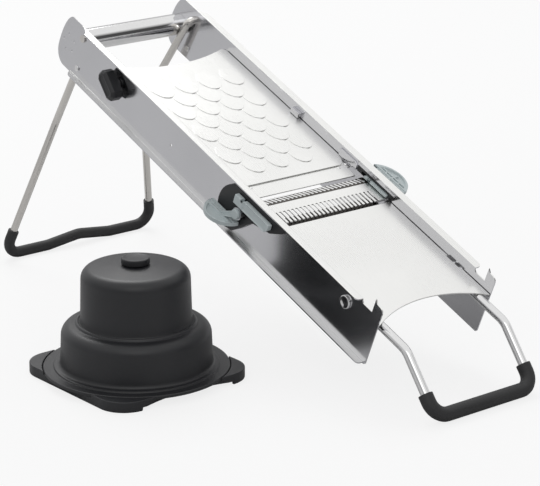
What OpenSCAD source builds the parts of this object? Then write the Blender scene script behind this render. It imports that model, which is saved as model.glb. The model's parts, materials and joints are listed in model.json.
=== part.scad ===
// Free-standing mandoline slicer with its separate food pusher.
// Deck frame: s runs down the deck from the top end, v across it, w square to it.

/* [Frame] */
// Length of the side plates along the deck
deck_len = 402; // [360:1:440]
// Clear width between the two side plates
inner_w = 111; // [100:1:124]
// Height of the side plates between their folds
web_h = 45.5; // [44:0.5:52]
// Thickness of the frame sheet
sheet_t = 1; // [0.8:0.1:1.2]
// Width of the top flanges outside the webs
flange_w = 6; // [5:0.5:9]
// Width of the bottom flanges outside the webs
foot_flange_w = 5; // [4:0.5:8]
// How far the rounded top end bulges past the top corner
nose_bulge = 11.5; // [8:0.5:14]
// Height of the stop ears above the top fold
ear_rise = 8; // [5:0.5:10]
// Width of the notch behind each stop ear
notch_w = 12; // [9:0.5:15]
// Diameter of the cross tube
tube_d = 18; // [15:0.5:19]
// Wall of the cross tube
tube_wall = 1.2; // [0.8:0.1:2]

/* [Deck plates] */
// Depth of the deck surface below the top folds
deck_depth = 9; // [7:0.5:11]
// Gap between the deck plates and the webs
side_gap = 0.6; // [0.4:0.1:1]
// Where the embossed plate starts
ramp_start = 61; // [58:0.5:64]
// Hollow of the embossed plate's arched top edge
ramp_arch = 9.5; // [6:0.5:12]
// Where the embossed plate ends
ramp_end = 228.5; // [222:0.5:232]
// How far the carrier's lip reaches past the embossed plate
lip_reach = 14.5; // [10:0.5:16]
// Length of the cut corners at the embossed plate's lower end
ramp_corner = 16; // [12:0.5:20]
// Hollow of the lower deck's arched edge
deck_arch = 14.5; // [8:0.5:18]

/* [Cutting parts] */
// Gap between the ramp's lip and the blade's edge
slice_gap = 4.2; // [3:0.1:6]
// Width of the horizontal blade along the deck
blade_w = 8; // [7:0.5:10]
// Width of the slotted plate behind the blade
slot_plate_w = 22; // [19:0.5:24]
// Number of julienne knives and slots
knife_n = 24; // [18:2:24]
// Pitch of the knives and slots
knife_pitch = 4; // [3.6:0.1:4.2]
// Width of a slot
slot_w = 1.8; // [1.4:0.1:2.2]
// Length of a slot
slot_len = 13; // [12:0.5:15]
// Thickness of a knife
knife_t = 0.6; // [0.5:0.1:0.9]

/* [Levers and latches] */
// Thickness of the side housings, within the flanges
housing_t = 5.4; // [4:0.1:5.6]
// Radius of the levers' shafts
lever_shaft_r = 3; // [2.5:0.1:3.5]
// Length of the near, low lever's paddle
low_paddle_len = 33; // [28:1:36]
// Length of the far, high lever's paddle
high_paddle_len = 40; // [34:1:42]
// Width of a lever's paddle
paddle_w = 17.4; // [15:0.2:20]
// Thickness of a lever's paddle
paddle_t = 3; // [2.5:0.1:4]
// Length of a lock bar
lock_len = 42; // [38:1:44]
// Travel of a lock bar
lock_travel = 5; // [3:0.5:5]

/* [Thickness control] */
// Radius of the control shaft
shaft_r = 3; // [2.5:0.1:3.5]
// Eccentricity of the cams
cam_throw = 0.25; // [0.2:0.05:0.3]
// Length of the knob's wing
knob_len = 25; // [22:1:30]
// Width of the knob's wing
knob_w = 12.5; // [11:0.5:16]
// Depth of the knob across the deck
knob_depth = 12.5; // [10:0.5:14.5]

/* [Feet] */
// Radius of the rear foot's rod
rear_rod_r = 3.1; // [2.8:0.1:3.4]
// Radius of the rear foot's sleeve
rear_sleeve_r = 4.6; // [4.2:0.1:5]
// Length of the rear leg down to its bend
rear_upper_len = 98; // [85:1:110]
// Depth of the rear foot below the bottom fold
rear_drop = 186; // [160:1:195]
// Half spread of the rear foot at the floor
rear_spread = 77; // [66:1:82]
// Radius of the front foot's rod
front_rod_r = 3.5; // [3:0.1:3.7]
// Radius of the front foot's sleeve
front_sleeve_r = 5.5; // [5:0.1:5.8]
// Reach of the front foot past the plates
front_reach = 70.5; // [60:0.5:80]
// Height of the front foot above the bottom fold
front_rise = 5.4; // [3:0.1:12]

/* [Pusher] */
// Radius of the hat's upper tier
upper_tier_r = 41.4; // [38:0.1:44]
// Width of the shoulder between the tiers
tier_step = 15.3; // [14:0.1:18]
// Width of the brim outside the lower tier
brim_w = 12.8; // [11:0.1:16]
// Border of the carriage around its hole
carriage_border = 9.3; // [8:0.1:12]
// Radius of the carriage's corners
carriage_corner = 22; // [18:1:26]
// Depth of the hollow in the carriage's open sides
carriage_hollow = 5.5; // [4:0.1:6]
// Wall of the hat
hat_wall = 2.2; // [1.8:0.1:3]
// Radius of the plunger's knob
button_r = 10.6; // [9:0.1:13]
// Gap between the pusher and the slicer's near lever
pusher_gap = 1.5; // [1:0.5:40]
// Place of the pusher ahead of the top end, along the floor
pusher_x = 224.5; // [180:0.5:320]

/* [Hidden] */

$fn = 64;
cut = 0.5;            // overrun of a cutting tool
run_fit = 0.06;       // radial clearance of a turning fit
apart = 0.3;          // gap between pieces that move past each other
web_in = inner_w / 2;
web_out = web_in + sheet_t;
flange_out = web_out + flange_w;
plate_half = web_in - side_gap;
deck_top = web_h - deck_depth;
deck_under = deck_top - sheet_t;
ear_s = deck_len - 9.6;
spike_rise = 3;
notch_depth = 3.4;
carrier_under = deck_under - sheet_t;

// Cross tube and rear pivot, near the top end.
tube_s = 1.2;
tube_w = 22.4;
rear_pivot_s = 17;
rear_pivot_w = 36;
rear_pivot_v = web_in - 5.4;
rear_bend_v = 44.3;
rear_foot_s = 6.3;
stop_gap = 0.1;
// The upper leg runs from the pivot past the tube and rests against it.
stop_r = tube_d / 2 + rear_rod_r + stop_gap;
tube_dist = norm([tube_s - rear_pivot_s, tube_w - rear_pivot_w]);
leg_dir = atan2(tube_w - rear_pivot_w, tube_s - rear_pivot_s) + asin(stop_r / tube_dist);
rear_bend_s = rear_pivot_s + rear_upper_len * cos(leg_dir);
rear_bend_w = rear_pivot_w + rear_upper_len * sin(leg_dir);

// Detents of the rear foot, weld dots and the small hole in each web.
detent_s = rear_pivot_s + 1;
detent_w = 8.5;
detent_r = 1.5;
detent_head_r = 2.4;
detent_head_t = 1.2;
detent_tail_t = 0.8;
weld_r = 1.1;
weld_depth = 0.3;
drain_s = 147;
drain_w = 20.3;
drain_r = 1.2;

// Front pivot: the legs run under the lower deck and rest against it.
front_pivot_s = deck_len - 35.7;
front_pivot_w = deck_under - front_rod_r - stop_gap;
front_bend_s = deck_len + 25.5;
front_foot_s = deck_len + front_reach;
front_leg_v = web_in - front_sleeve_r - 1.2;
rod_end = 1.3;
cap_r = 5.2;
cap_t = 1.9;
bend_swell = 0.05;
bend_lap = 0.4;

// Both feet stand on the floor, which sets the tilt and the height.
foot_ds = front_foot_s - rear_foot_s;
foot_dw = front_rise + rear_drop;
tilt = atan2(foot_dw, foot_ds) - asin((front_sleeve_r - rear_sleeve_r) / norm([foot_ds, foot_dw]));
deck_z = rear_sleeve_r + rear_foot_s * sin(tilt) + rear_drop * cos(tilt);
rear_x = rear_foot_s * cos(tilt) - rear_drop * sin(tilt);
front_x = front_foot_s * cos(tilt) + front_rise * sin(tilt);

// Control shaft, cams and the ramp's hinge.
shaft_s = ramp_start + 9;
shaft_w = deck_under - 8;
hinge_s = ramp_start + 1.5;
hinge_w = deck_under - 4;
hinge_r = 2;
cam_r = carrier_under - apart - shaft_w - cam_throw;
cam_t = 6;
cam_v = 30;
ear_r = 4;
skirt_h = 3.5;
side_skirt_len = 150;
arch_in = 3;
top_corner = 5;
corner_in = 9;
big_rivet = [1.6, 0.8];    // radius and height of a head
small_rivet = [1.1, 0.4];
dome_share = 0.6;
carrier_start = ramp_start + ramp_arch + 0.5;
carrier_wide_end = ramp_end + 3.5;
knob_base_t = 2.4;
knob_neck_r = shaft_r + 1.8;
knob_cap = 3;
wing_taper = 3;
wing_edge = 2;
wing_turn = -30;
shaft_over = 2.5;
clip_r = 5;
clip_t = 1.2;

// Cutting group.
stop_s = 155;
lip_end = ramp_end + lip_reach;
blade_s = lip_end + slice_gap;
slot_plate_s = blade_s + blade_w;
slot_s = slot_plate_s + slot_plate_w - slot_len;
deck_start = slot_plate_s + slot_plate_w + 4.2;
serration_n = 25;
serration_r = 2.6;
serration_in = 1.1;
ledge_t = 2;
ledge_v = 49;
ledge_w = deck_under - ledge_t;

// Levers turn on stub shafts through the webs.
lever_s = slot_s - 18.3;
comb_eye_r = lever_shaft_r + 2.4;
lever_w = deck_under - 8.4;
arm_v = web_in - 1.5;
arm_t = 2;
arm_in = arm_v - arm_t;
comb_s = slot_s + 6.2;
comb_w = deck_under - 15.4;
comb_bar = 5;
lip_half = arm_in - 1;
knife_tip = deck_under - 0.8;
hub_out = flange_out + 7;
boss_r = 5;
lever_plate = 2.6;
arm_v0 = hub_out - lever_plate;
shaft_end = hub_out - 1;
paddle_in = flange_out + apart;
paddle_out = paddle_in + paddle_w;
low_paddle_s = lever_s - 15.8;
low_paddle_w = lever_w - 10;
high_paddle_s = lever_s + 17;
dish_depth = 0.8;
dish_rim = 3;
paddle_clear = 2.6;

// Side housings, lock bars and the windows for their tongues.
housing_out = web_out + housing_t;
hood_r = web_h / 2 - 1.4;
hood_s = lever_s - 7;
hood_w = web_h / 2;
housing_end = lever_s + 46;
housing_top = web_h - sheet_t - 0.1;
window_s = lever_s - 7;
window_len = 44;
window_w = deck_top + 0.3;
window_h = 5;
window_fit = 0.1;
tongue_up = window_w + 0.4;
cheek_end = window_s - 0.4;
cheek_top = deck_top + 6.5;
cheek_len = 22;
cheek_t = 1.4;
cheek_cut = [2.5, 2];
tongue_t = 2;
tongue_s = lever_s + 4;
tongue_len = 27;
tongue_v = web_in - 2.5;
lock_s = lever_s - 8;
lock_w = lever_w + boss_r + apart;
lock_h = 7.6;
lock_out = housing_out + 4.4;
lock_edge = 1.5;
lock_nose = 3;
lock_head = 9;
head_step = 0.8;
high_paddle_w = lock_w + lock_h + apart + paddle_t / 2;

// Pusher stack, from the floor up.
lower_tier_r = upper_tier_r + tier_step;
brim_r = lower_tier_r + brim_w;
runner_h = 2.4;
runner_w = 2.4;
carriage_t = 5.5;
brim_t = 2.6;
brim_z = carriage_t;
brim_edge = 0.8;
brim_top = brim_z + brim_t;
step_r = lower_tier_r + 4.8;
step_z = brim_top + 1.3;
lower_z = step_z + 1.4;
lower_top = 40.8;
ring_r = upper_tier_r + 3.2;
ring_z = lower_top + 2.2;
upper_top = 84;
crown_z = upper_top + 2;
shoulder = 8.5;
draft = 0.8;
spigot_r = lower_tier_r - 3.1;
spigot_z = 1.5;
carriage_hole_r = spigot_r + 2 * apart;
carriage_w = 2 * (carriage_hole_r + carriage_border);
ear_gap = 2 * apart;
hollow_in = 4;
stem_r = 4;
button_z = crown_z + apart;
button_t = 5;
button_edge = 0.8;
stem_top = button_z + button_t - 1.5;
press_r = upper_tier_r - hat_wall - 3.2;
press_t = 3;
press_z = 10;
spike_r = 1.1;
spike_h = 7;
spike_point = 2.5;
spike_tip_r = 0.2;
inner_ring_r = press_r * 0.39;
outer_ring_r = press_r - 8;
pusher_v = -(paddle_out + pusher_gap + brim_r);

// The origin is the middle of the whole outline, on the floor.
half_out = max(rear_spread + rear_sleeve_r, paddle_out);
origin_x = (rear_x - rear_sleeve_r + front_x + front_sleeve_r) / 2;
origin_y = (half_out + pusher_v - brim_r) / 2;

steel = [0.80, 0.80, 0.82];
bright = [0.92, 0.92, 0.92];
dark_plastic = [0.13, 0.13, 0.14];
grey_plastic = [0.62, 0.68, 0.68];

// Puts a piece drawn in the deck frame in its place above the floor.
module on_deck() {
    translate([-origin_x, -origin_y, deck_z]) rotate([0, tilt, 0]) children();
}

// Puts a piece drawn on the pusher's own axis in its place on the floor.
module on_table() {
    translate([pusher_x - origin_x, pusher_v - origin_y, 0]) children();
}

// Extrudes an s-w outline across the deck from v0 to v1.
module across(v0, v1) {
    translate([0, v1, 0]) rotate([90, 0, 0]) linear_extrude(v1 - v0) children();
}

// Draws children at both sides of the deck.
module both_sides() {
    children();
    mirror([0, 1, 0]) children();
}

// Slot-shaped outline along s, centred.
module stadium(len, wide) {
    square([len - wide, wide], center = true);
    for (e = [-1, 1]) translate([e * (len - wide) / 2, 0]) circle(d = wide);
}

// Pin along v from v0 to v1.
module pin_across(s, w, r, v0, v1) {
    translate([s, v1, w]) rotate([90, 0, 0]) cylinder(h = v1 - v0, r = r);
}

function unit(a) = a / norm(a);
function heading(p, i) = unit(p[i + 1] - p[i]);
function turn(p, i) = acos(heading(p, i - 1) * heading(p, i));
function trim(p, i, bends) = bends[i - 1] * tan(turn(p, i) / 2);
function side_of(p, i) = unit(cross(heading(p, i - 1), heading(p, i)));
function spin(p, i) = atan2(cross(side_of(p, i), side_of(p, i + 1)) * heading(p, i),
    side_of(p, i) * side_of(p, i + 1));

module ring_face(r, bore) {
    difference() {
        circle(r);
        if (bore > 0) circle(bore);
    }
}

// Rod bent through the points p, with one bend radius per inner point.
module bent_rod(p, bends, r) {
    u = heading(p, 0);
    b = side_of(p, 1);
    n = cross(b, u);
    multmatrix([
        [n[0], b[0], u[0], p[0][0]],
        [n[1], b[1], u[1], p[0][1]],
        [n[2], b[2], u[2], p[0][2]],
        [0, 0, 0, 1]])
        rod_run(p, bends, r, 0);
}

// Draws straight i and the bend after it, then goes on from that bend's end.
// A bend is swollen a little, and the straights lap into it.
module rod_run(p, bends, r, i) {
    last = len(p) - 2;
    used = (i == 0 ? 0 : trim(p, i, bends)) + (i == last ? 0 : trim(p, i + 1, bends));
    run = norm(p[i + 1] - p[i]) - used;
    before = i == 0 ? 0 : bend_lap;
    after = i == last ? 0 : bend_lap;
    translate([0, 0, -before]) cylinder(h = run + before + after, r = r);
    if (i < last) {
        radius = bends[i];
        angle = turn(p, i + 1);
        translate([radius, 0, run]) {
            rotate([90, 0, 180]) rotate_extrude(angle = angle)
                translate([radius, 0]) circle(r + bend_swell);
            rotate([0, angle, 0]) translate([-radius, 0, 0])
                rotate([0, 0, i + 1 < last ? spin(p, i + 1) : 0]) rod_run(p, bends, r, i + 1);
        }
    }
}

// Side profile of a web, with the rounded top end, the notch and the spiked stop ear.
module web_outline() {
    low = 14;
    high = web_h - low;
    bevel = 1.5;
    spike = [2.4, 2.6];
    ear_top = web_h + ear_rise - spike_rise;
    nose_r = 4;
    notch_floor = web_h - notch_depth;
    polygon(concat(
        [for (a = [90:6:180]) [nose_bulge * cos(a), low + high * sin(a)]],
        [for (a = [186:6:270]) [nose_bulge * cos(a), low + low * sin(a)]],
        [[deck_len - bevel, 0], [deck_len, bevel]],
        [for (a = [0:15:90]) [deck_len - nose_r + nose_r * cos(a), ear_top - nose_r + nose_r * sin(a)]],
        [[ear_s + spike[0], ear_top + spike_rise - spike[1]], [ear_s, ear_top + spike_rise],
         [ear_s, notch_floor], [ear_s - notch_w + bevel, notch_floor],
         [ear_s - notch_w, notch_floor + bevel], [ear_s - notch_w, web_h]]));
}

// Plan of the top flange, from its pointed top end to its rounded lower end.
module top_flange_outline() {
    wide = sheet_t + flange_w;
    taper = 26;
    swell = 0.9;
    r = 4;
    end_s = ear_s - notch_w;
    polygon(concat(
        [[0, 0]],
        [for (a = [0:15:90]) [taper * sin(a) * swell, wide * (1 - cos(a))]],
        [[taper, wide]],
        [for (a = [90:-15:0]) [end_s - r + r * cos(a), wide - r + r * sin(a)]],
        [[end_s, 0]]));
}

// Plan of the bottom flange, rounded at both ends.
module bottom_flange_outline() {
    wide = sheet_t + foot_flange_w;
    start = 10;
    r = 3;
    end_s = deck_len - r;
    polygon(concat(
        [[start, 0]],
        [for (a = [180:-15:90]) [start + wide + wide * cos(a), wide * sin(a)]],
        [for (a = [90:-15:0]) [end_s - r + r * cos(a), wide - r + r * sin(a)]],
        [[end_s, 0]]));
}

module side_plate() {
    difference() {
        union() {
            across(web_in, web_out) web_outline();
            translate([0, web_in, web_h - sheet_t]) linear_extrude(sheet_t) top_flange_outline();
            translate([0, web_in, 0]) linear_extrude(sheet_t) bottom_flange_outline();
        }
        web_hole(rear_pivot_s, rear_pivot_w, rear_rod_r + run_fit);
        web_hole(front_pivot_s, front_pivot_w, front_rod_r + run_fit);
        web_hole(shaft_s, shaft_w, shaft_r + run_fit);
        web_hole(hinge_s, hinge_w, hinge_r + run_fit);
        web_hole(lever_s, lever_w, lever_shaft_r + run_fit);
        web_hole(detent_s, detent_w, detent_r);
        web_hole(drain_s, drain_w, drain_r);
        across(web_in - cut, web_out + cut)
            translate([window_s, window_w]) square([window_len, window_h]);
        weld_dots();
    }
}

module web_hole(s, w, r) {
    pin_across(s, w, r, web_in - cut, web_out + cut);
}

// Shallow spot-weld dots around the end of the cross tube.
module weld_dots() {
    ring = tube_d / 2 - 1.5 * weld_r;
    for (a = [35:72:323])
        pin_across(tube_s + ring * cos(a), tube_w + ring * sin(a), weld_r,
            web_out - weld_depth, web_out + cut);
}

module side_plate_left() {
    color(steel) on_deck() mirror([0, 1, 0]) side_plate();
}

module side_plate_right() {
    color(steel) on_deck() side_plate();
}

module cross_tube() {
    color(bright) on_deck()
        across(-web_in, web_in) translate([tube_s, tube_w]) ring_face(tube_d / 2, tube_d / 2 - tube_wall);
}

// Pressed detents that hold the opened rear foot.
module detent_rivets() {
    color(bright) on_deck() both_sides() {
        pin_across(detent_s, detent_w, detent_head_r, web_out, web_out + detent_head_t);
        pin_across(detent_s, detent_w, detent_r, web_in, web_out);
        pin_across(detent_s, detent_w, detent_head_r, web_in - detent_tail_t, web_in);
    }
}

// Plate in the s-v plane with one arched end hollowed by a circle.
module arch_cut(edge_s, depth, half, dir) {
    arc_r = (half * half + depth * depth) / (2 * depth);
    translate([edge_s + dir * (depth - arc_r), 0]) circle(arc_r, $fn = 128);
}

module lower_deck() {
    skirt = 5;
    skirt_len = 64;
    pad_size = [20, 3];
    notch_size = [8, 3];
    color(bright) on_deck() {
        translate([0, 0, deck_under]) linear_extrude(sheet_t) difference() {
            translate([deck_start, -plate_half]) square([deck_len - deck_start, 2 * plate_half]);
            arch_cut(deck_len, deck_arch, plate_half, -1);
            for (side = [-1, 1], back = [46, 36])
                translate([deck_len - back, side * plate_half]) square(notch_size, center = true);
        }
        both_sides() {
            across(plate_half - sheet_t, plate_half)
                translate([deck_start, deck_under - skirt]) square([skirt_len, skirt]);
            for (pad = [8, 38]) across(plate_half, web_in)
                translate([deck_start + pad, deck_under - skirt]) square(pad_size);
        }
    }
}

// Ledges on the webs that carry the blade and the slotted plate.
module blade_ledges() {
    color(steel) on_deck() both_sides()
        translate([blade_s + 1, ledge_v, ledge_w])
            cube([blade_w + slot_plate_w - 2, web_in - ledge_v, ledge_t]);
}

module horizontal_blade() {
    edge = 2.2;
    color(bright) on_deck() difference() {
        across(-plate_half, plate_half) polygon([
            [blade_s, deck_under + 0.25], [blade_s + edge, deck_under],
            [blade_s + blade_w, deck_under], [blade_s + blade_w, deck_top],
            [blade_s + edge, deck_top], [blade_s, deck_under + 0.45]]);
        for (i = [0:serration_n - 1])
            translate([blade_s - serration_r + serration_in, (i - (serration_n - 1) / 2) * 4, 0])
                cylinder(h = web_h, r = serration_r);
    }
}

module slotted_plate() {
    color(bright) on_deck()
        translate([0, 0, deck_under]) linear_extrude(sheet_t) difference() {
            translate([slot_plate_s, -plate_half]) square([slot_plate_w, 2 * plate_half]);
            for (i = [0:knife_n - 1])
                translate([slot_s, knife_v(i) - slot_w / 2]) square([slot_len + cut, slot_w]);
        }
}

function knife_v(i) = (i - (knife_n - 1) / 2) * knife_pitch;

// Small stops on the webs above the edges of the embossed plate.
module hold_down_tabs() {
    size = [10, 3.5, 4.5];
    color(steel) on_deck() both_sides()
        translate([stop_s, web_in - size[1], deck_top + apart]) cube(size);
}

// Pads on the webs that close the gap above the embossed plate's lower end.
module side_cheeks() {
    color(steel) on_deck() both_sides()
        across(web_in - cheek_t, web_in) polygon([
            [cheek_end - cheek_len, deck_top + apart], [cheek_end, deck_top + apart],
            [cheek_end, cheek_top - cheek_cut[1]], [cheek_end - cheek_cut[0], cheek_top],
            [cheek_end - cheek_len, cheek_top]]);
}

// Rounded hood round the lever's shaft, with a nose along the top flange.
module housing_outline() {
    chin = [lever_s - 5, lever_w - 20.4];
    cheek = [lever_s + 12.5, lever_w - 0.6];
    jaw = [lever_s + 33.4, lever_w + 4.5];
    nose = 4.4;
    polygon(concat(
        [for (a = [102:10:242]) [hood_s + hood_r * cos(a), hood_w + hood_r * sin(a)]],
        [chin, cheek, jaw, [housing_end, housing_top - nose], [housing_end, housing_top]]));
}

module latch_housing() {
    bore = lever_shaft_r + run_fit;
    plug_out = 0.3;
    difference() {
        union() {
            across(web_out, housing_out) housing_outline();
            across(web_in - plug_out, web_out)
                translate([window_s + window_fit, window_w + window_fit])
                    square([window_len - 2 * window_fit, window_h - 2 * window_fit]);
        }
        pin_across(lever_s, lever_w, bore, web_out - cut, housing_out + cut);
        across(web_in - plug_out - cut, housing_out + cut)
            translate([tongue_s - lock_travel - apart, tongue_up])
                square([tongue_len + lock_travel + 2 * apart, tongue_t + 2 * apart]);
    }
}

module latch_housing_left() {
    color(dark_plastic) on_deck() mirror([0, 1, 0]) latch_housing();
}

module latch_housing_right() {
    color(dark_plastic) on_deck() latch_housing();
}

// Lock bar outside the housing, with the tongue that holds the blade down.
module lock_bar() {
    top = lock_w + lock_h;
    end = lock_s + lock_len;
    across(housing_out + apart, lock_out) polygon([
        [lock_s, lock_w + lock_edge], [lock_s + lock_edge, lock_w], [end - lock_nose, lock_w],
        [end, lock_w + lock_nose], [end, top - head_step], [lock_s + lock_head + head_step, top - head_step],
        [lock_s + lock_head, top], [lock_s + lock_edge, top], [lock_s, top - lock_edge]]);
    across(tongue_v, housing_out + apart)
        translate([tongue_s, tongue_up + apart]) square([tongue_len, tongue_t]);
}

module lock_bar_left() {
    color(grey_plastic) on_deck() mirror([0, 1, 0]) lock_bar();
}

module lock_bar_right() {
    color(grey_plastic) on_deck() lock_bar();
}

// Carrier under the embossed plate, with its lip, skirts and hinge ears.
module ramp_carrier() {
    color(bright) on_deck() {
        translate([0, 0, carrier_under]) linear_extrude(sheet_t) {
            translate([carrier_start, -plate_half])
                square([carrier_wide_end - carrier_start, 2 * plate_half]);
            translate([carrier_start, -lip_half]) square([lip_end - carrier_start, 2 * lip_half]);
        }
        both_sides() difference() {
            across(plate_half - sheet_t, plate_half) {
                translate([hinge_s, deck_under - skirt_h]) square([side_skirt_len, skirt_h]);
                translate([hinge_s, hinge_w]) circle(ear_r);
            }
            pin_across(hinge_s, hinge_w, hinge_r, plate_half - sheet_t - cut, plate_half + cut);
        }
    }
}

// Points of one side edge of the embossed plate, at v = side * plate_half.
function ramp_edge(side) = concat(
    [for (a = [180:-15:90])
        [ramp_start + top_corner * (1 + cos(a)), side * (plate_half - top_corner * (1 - sin(a)))]],
    [for (a = [90:-15:0])
        [ramp_end - ramp_corner * (1 - cos(a)), side * (plate_half - corner_in * (1 - sin(a)))]]);

module embossed_plate() {
    color(bright) on_deck()
        translate([0, 0, deck_under]) linear_extrude(sheet_t) difference() {
            polygon(concat(ramp_edge(1), backwards(ramp_edge(-1))));
            arch_cut(ramp_start, ramp_arch, plate_half - arch_in, 1);
        }
}

// Domed rivets that join the carrier to the embossed plate.
module ramp_rivets() {
    color(bright) on_deck() both_sides() {
        ramp_rivet(ramp_end - 0.2, plate_half - 2.3, big_rivet);
        ramp_rivet(ramp_end + 2.5, plate_half - 11, small_rivet);
    }
}

module ramp_rivet(s, v, head) {
    translate([s, v, deck_under]) cylinder(h = head[1], r1 = head[0], r2 = head[0] * dome_share);
}

module ramp_hinge_pins() {
    color(steel) on_deck() both_sides()
        pin_across(hinge_s, hinge_w, hinge_r, plate_half - sheet_t, web_out);
}

// Winged knob on the near side, tapered towards its outer face.
module thickness_knob() {
    near = web_out + apart;
    color(dark_plastic) on_deck() mirror([0, 1, 0]) difference() {
        translate([shaft_s, near, shaft_w]) rotate([0, -wing_turn, 0]) rotate([90, 0, 0]) mirror([0, 0, 1]) {
            cylinder(h = knob_base_t, r = knob_neck_r);
            translate([0, 0, knob_base_t]) linear_extrude(knob_depth - knob_base_t - wing_edge)
                stadium(knob_len, knob_w);
            translate([0, 0, knob_depth - wing_edge]) linear_extrude(wing_edge)
                stadium(knob_len - wing_taper, knob_w - wing_taper);
        }
        pin_across(shaft_s, shaft_w, shaft_r, near - cut, near + knob_depth - knob_cap);
    }
}

module control_shaft() {
    color(steel) on_deck()
        pin_across(shaft_s, shaft_w, shaft_r,
            -(web_out + apart + knob_depth - knob_cap), web_out + shaft_over);
}

module shaft_cams() {
    color(steel) on_deck() both_sides() difference() {
        pin_across(shaft_s, shaft_w + cam_throw, cam_r, cam_v - cam_t / 2, cam_v + cam_t / 2);
        pin_across(shaft_s, shaft_w, shaft_r, cam_v - cam_t, cam_v + cam_t);
    }
}

module shaft_clip() {
    near = web_out + apart;
    color(dark_plastic) on_deck() across(near, near + clip_t)
        translate([shaft_s, shaft_w]) ring_face(clip_r, shaft_r);
}

// Swinging bar under the slots, with an arm at each side.
module comb_carrier() {
    half = comb_bar / 2;
    shoulder_top = [lever_s - 1, lever_w + 5];
    shoulder_low = [lever_s - 3, lever_w - 4];
    color(steel) on_deck() {
        translate([comb_s - half, -arm_v, comb_w - half]) cube([comb_bar, 2 * arm_v, comb_bar]);
        both_sides() difference() {
            across(arm_in, arm_v) {
                translate([lever_s, lever_w]) circle(comb_eye_r);
                polygon([shoulder_top, [comb_s + half, comb_w + half], [comb_s + half, comb_w - half],
                    [comb_s - half, comb_w - half], shoulder_low]);
            }
            pin_across(lever_s, lever_w, lever_shaft_r, arm_in - cut, arm_v + cut);
        }
    }
}

module julienne_knives() {
    root = comb_w + comb_bar / 2;
    half = 2.4;
    point_s = comb_s - 0.8;
    front_w = knife_tip - 1;
    back_w = knife_tip - 2.5;
    color(bright) on_deck() for (i = [0:knife_n - 1])
        across(knife_v(i) - knife_t / 2, knife_v(i) + knife_t / 2) polygon([
            [comb_s - half, root], [comb_s + half, root], [comb_s + half, back_w],
            [point_s, knife_tip], [comb_s - half, front_w]]);
}

// Stub shafts with a collar that holds each lever outside its housing.
module lever_shafts() {
    color(steel) on_deck() both_sides() {
        pin_across(lever_s, lever_w, lever_shaft_r, arm_in, shaft_end);
        pin_across(lever_s, lever_w, boss_r, flange_out + apart, arm_v0);
    }
}

// Lever with a half-round finger paddle held at the end of a flat arm.
module lever(paddle_s, paddle_z, paddle_len) {
    difference() {
        union() {
            hull() {
                pin_across(lever_s, lever_w, boss_r, arm_v0, hub_out);
                pin_across(paddle_s, paddle_z, paddle_t / 2, arm_v0, hub_out);
            }
            translate([paddle_s, paddle_in, paddle_z - paddle_t / 2]) paddle(paddle_len / 2);
        }
        pin_across(lever_s, lever_w, lever_shaft_r, arm_v0 - cut, shaft_end);
    }
}

// Finger paddle with an oval dish in its top.
module paddle(half) {
    difference() {
        linear_extrude(paddle_t) half_round(half, paddle_w);
        translate([0, paddle_w / 2, paddle_t - dish_depth])
            linear_extrude(dish_depth + cut) scaled_oval(half - dish_rim, paddle_w / 2 - dish_rim);
    }
}

// Outline with a straight side from -a to a and a full round side that reaches b.
module half_round(a, b) {
    fullness = 0.7;
    polygon(concat([[a, 0]], [for (t = [6:12:174]) [a * cos(t), b * pow(sin(t), fullness)]], [[-a, 0]]));
}

// Oval outline with formula points.
module scaled_oval(a, b) {
    polygon([for (t = [0:10:350]) [a * cos(t), b * sin(t)]]);
}

module lever_left() {
    color(grey_plastic) on_deck() mirror([0, 1, 0]) lever(low_paddle_s, low_paddle_w, low_paddle_len);
}

// The high paddle's upper corner is cut back clear of the lock bar's top.
module lever_right() {
    back = high_paddle_len / 2 + cut;
    color(grey_plastic) on_deck() difference() {
        lever(high_paddle_s, high_paddle_w, high_paddle_len);
        translate([high_paddle_s - back, paddle_in - cut, high_paddle_w - paddle_t])
            cube([lever_s + paddle_clear - high_paddle_s + back, arm_v0 - paddle_in + cut, 2 * paddle_t]);
    }
}

// Centre line of the rear foot, from the far pivot stub to the near one.
kink = 4;
function lifted(s, v, w, rise) = [s - rise * sin(tilt), v, w + rise * cos(tilt)];
function rear_half(side) = [
    [rear_pivot_s, side * (web_out + rod_end), rear_pivot_w],
    [rear_pivot_s, side * rear_pivot_v, rear_pivot_w],
    [rear_bend_s, side * rear_bend_v, rear_bend_w],
    [rear_foot_s, side * rear_spread, -rear_drop],
    [rear_foot_s, side * rear_spread * 0.42, -rear_drop]];
function backwards(p) = [for (i = [len(p) - 1:-1:0]) p[i]];
rear_path = concat(rear_half(-1), [lifted(rear_foot_s, 0, -rear_drop, kink)], backwards(rear_half(1)));
rear_bends = [5, 25, 12, 30, 30, 30, 12, 25, 5];
rear_sleeve_up = 24;

function along(a, b, d) = a + unit(b - a) * d;

module rear_foot_rod() {
    color(steel) on_deck() bent_rod(rear_path, rear_bends, rear_rod_r);
}

module rear_foot_sleeve() {
    p = concat(
        [along(rear_path[3], rear_path[2], rear_sleeve_up)],
        [for (i = [3:7]) rear_path[i]],
        [along(rear_path[7], rear_path[8], rear_sleeve_up)]);
    color(dark_plastic) on_deck() difference() {
        bent_rod(p, [for (i = [2:6]) rear_bends[i]], rear_sleeve_r);
        bent_rod(rear_path, rear_bends, rear_rod_r + run_fit);
    }
}

function front_half(side) = [
    [front_pivot_s, side * (web_out + rod_end), front_pivot_w],
    [front_pivot_s, side * front_leg_v, front_pivot_w],
    [front_bend_s, side * front_leg_v, front_pivot_w],
    [front_foot_s, side * front_leg_v, front_rise]];
front_path = concat(front_half(-1), backwards(front_half(1)));
front_bends = [6, 16, 12, 12, 16, 6];
front_sleeve_up = 18;

module front_foot_rod() {
    color(bright) on_deck() bent_rod(front_path, front_bends, front_rod_r);
}

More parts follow.
